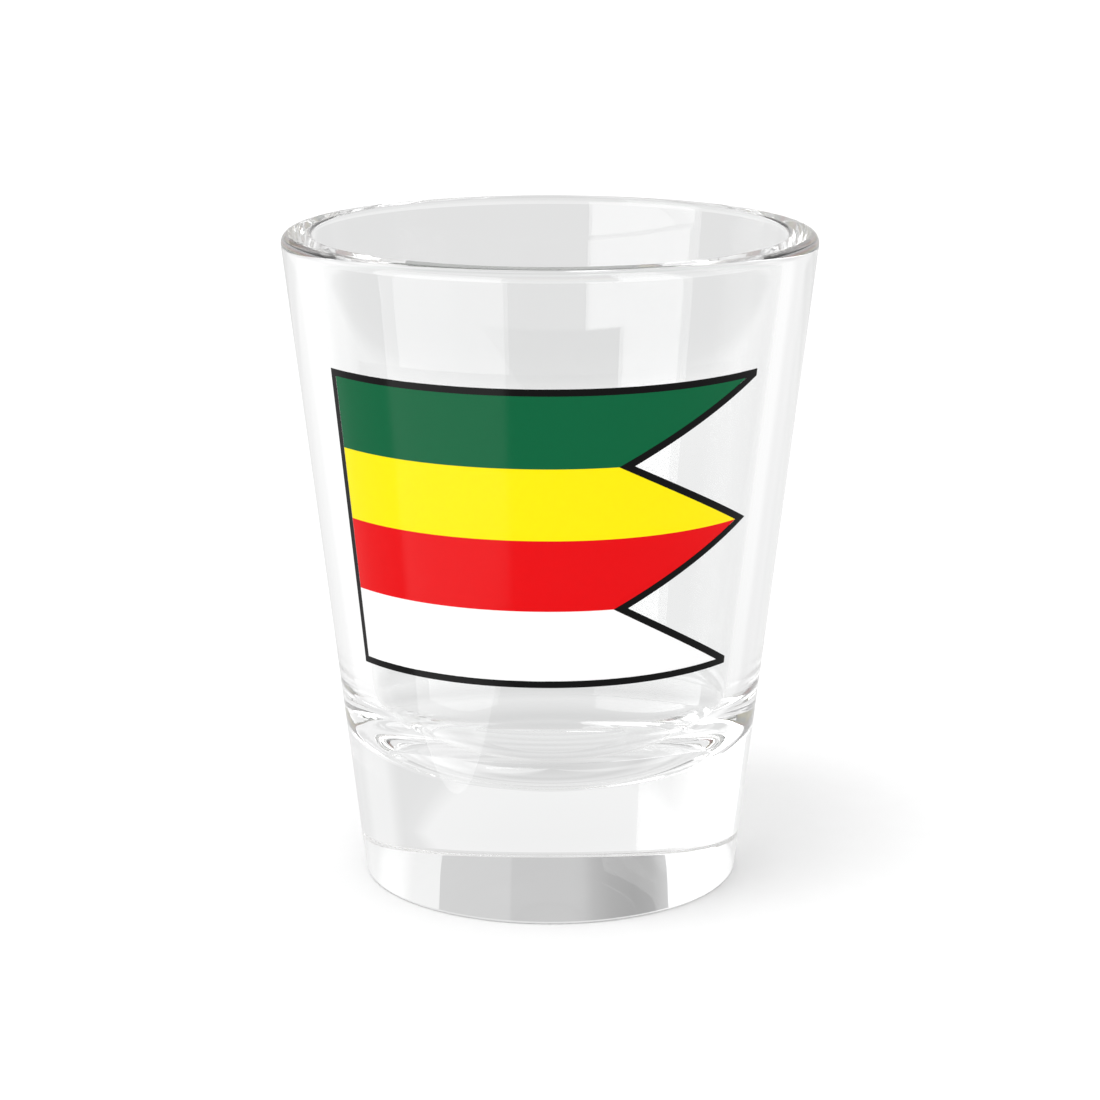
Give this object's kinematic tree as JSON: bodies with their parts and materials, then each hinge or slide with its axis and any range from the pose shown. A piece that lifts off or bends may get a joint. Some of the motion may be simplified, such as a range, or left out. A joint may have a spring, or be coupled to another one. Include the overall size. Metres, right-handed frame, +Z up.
{
  "type": "shot glass",
  "caption": "Tapered clear shot glass with a heavy base, a rounded rim and a banded, notched flag printed on its side.",
  "frame": {"origin": "centre of the foot, on the plane of the surface that the glass stands on", "axes": "+Z up along the glass's axis, out of its mouth; -Y is the front, where the print faces; +X is to the right as the print is looked at"},
  "size_m": [0.0484, 0.0484, 0.06],
  "materials": {
    "clear_glass": "clear, fire-polished soda-lime glass",
    "black_ink": "gloss, opaque printed ink",
    "green_ink": "gloss, opaque printed ink",
    "yellow_ink": "gloss, opaque printed ink",
    "red_ink": "gloss, opaque printed ink",
    "white_ink": "gloss, opaque printed ink"
  },
  "bodies": {
    "root": {"glass_body": "clear_glass", "black_outline": "black_ink", "green_band": "green_ink", "yellow_band": "yellow_ink", "red_band": "red_ink", "white_band": "white_ink"}
  },
  "joints": []
}
